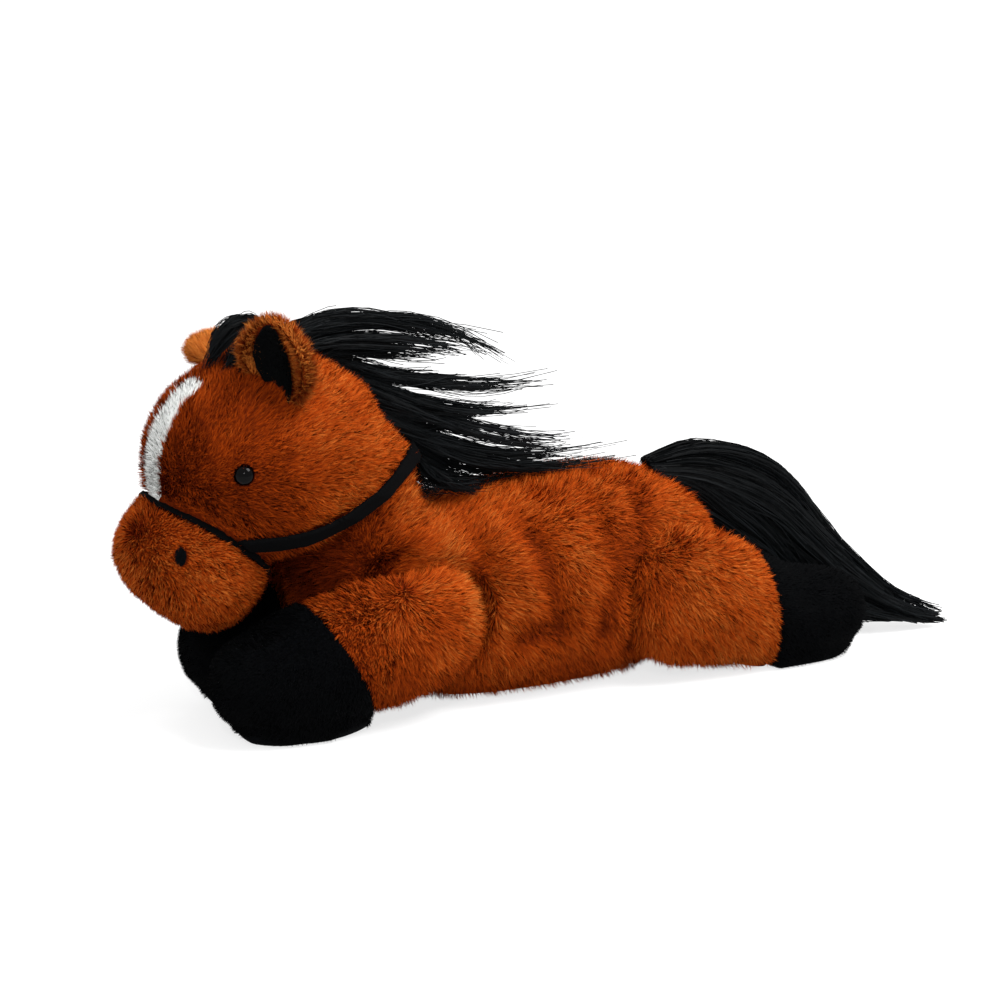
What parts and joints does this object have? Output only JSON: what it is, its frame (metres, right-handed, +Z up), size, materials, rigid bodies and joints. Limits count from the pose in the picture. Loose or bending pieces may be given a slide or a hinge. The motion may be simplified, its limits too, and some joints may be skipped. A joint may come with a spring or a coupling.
{
  "type": "plush horse",
  "caption": "Stuffed plush horse lying on its belly, with long mane, forelock and tail, dark hooves, a white blaze and a thin halter.",
  "frame": {"origin": "on the floor under the middle of the belly", "axes": "+Z up, the horse looks along -Y, its left side is +X"},
  "size_m": [0.1358, 0.4587, 0.2142],
  "materials": {
    "plush": "long ginger pile",
    "hoof": "short black pile",
    "hair": "long straight black hair",
    "lining": "short black cloth and stitching",
    "blaze": "white pile",
    "ribbon": "matte black ribbon",
    "eye": "polished black",
    "washer": "moulded",
    "stuffing": "polyester fibre"
  },
  "bodies": {
    "body": {"body_skin": "plush", "body_stuffing": "stuffing"},
    "head": {"head_skin": "plush", "forehead_blaze": "blaze", "head_stuffing": "stuffing", "muzzle_skin": "plush", "muzzle_stuffing": "stuffing", "left_eye": "eye", "right_eye": "eye", "left_eye_washer": "washer", "right_eye_washer": "washer", "left_nostril": "lining", "right_nostril": "lining", "noseband": "ribbon", "cheek_strap": "ribbon", "forelock": "hair", "mane": "hair"},
    "left_front_leg": {"left_front_leg_skin": "plush", "left_front_leg_stuffing": "stuffing", "left_front_hoof": "hoof"},
    "right_front_leg": {"right_front_leg_skin": "plush", "right_front_leg_stuffing": "stuffing", "right_front_hoof": "hoof"},
    "left_hind_leg": {"left_hind_leg_skin": "plush", "left_hind_leg_stuffing": "stuffing", "left_hind_hoof": "hoof"},
    "right_hind_leg": {"right_hind_leg_skin": "plush", "right_hind_leg_stuffing": "stuffing", "right_hind_hoof": "hoof"},
    "left_ear": {"left_ear_outer": "plush", "left_ear_lining": "lining"},
    "right_ear": {"right_ear_outer": "plush", "right_ear_lining": "lining"},
    "tail": {"tail": "hair"}
  },
  "joints": [
    {"name": "neck_turn", "type": "hinge", "parent": "body", "child": "head", "pos_m": [0, -0.106, 0.117], "axis": [0, -0.2924, 0.9563], "range_deg": [-25, 25], "stiffness_Nm_per_rad": 0.4},
    {"name": "left_front_leg_lower", "type": "hinge", "parent": "body", "child": "left_front_leg", "pos_m": [0.03215, -0.084, 0.048], "axis": [-1, 0, 0], "range_deg": [-25, 0], "stiffness_Nm_per_rad": 0.4},
    {"name": "right_front_leg_lower", "type": "hinge", "parent": "body", "child": "right_front_leg", "pos_m": [-0.03215, -0.084, 0.048], "axis": [-1, 0, 0], "range_deg": [-25, 0], "stiffness_Nm_per_rad": 0.4},
    {"name": "left_hind_leg_swing", "type": "hinge", "parent": "body", "child": "left_hind_leg", "pos_m": [0.03215, 0.072, 0.046], "axis": [1, 0, 0], "range_deg": [-20, 5], "stiffness_Nm_per_rad": 0.4},
    {"name": "right_hind_leg_swing", "type": "hinge", "parent": "body", "child": "right_hind_leg", "pos_m": [-0.03215, 0.072, 0.046], "axis": [1, 0, 0], "range_deg": [-20, 5], "stiffness_Nm_per_rad": 0.4},
    {"name": "tail_lift", "type": "hinge", "parent": "body", "child": "tail", "pos_m": [0, 0.07, 0.099], "axis": [1, 0, 0], "range_deg": [0, 25], "stiffness_Nm_per_rad": 0.1},
    {"name": "left_ear_fold", "type": "hinge", "parent": "head", "child": "left_ear", "pos_m": [0.03194, -0.146, 0.1738], "axis": [0.7814, 0.6093, -0.135], "range_deg": [-15, 15], "stiffness_Nm_per_rad": 0.02},
    {"name": "right_ear_fold", "type": "hinge", "parent": "head", "child": "right_ear", "pos_m": [-0.03194, -0.146, 0.1738], "axis": [0.1224, -0.9924, -0.0121], "range_deg": [-15, 15], "stiffness_Nm_per_rad": 0.02}
  ]
}
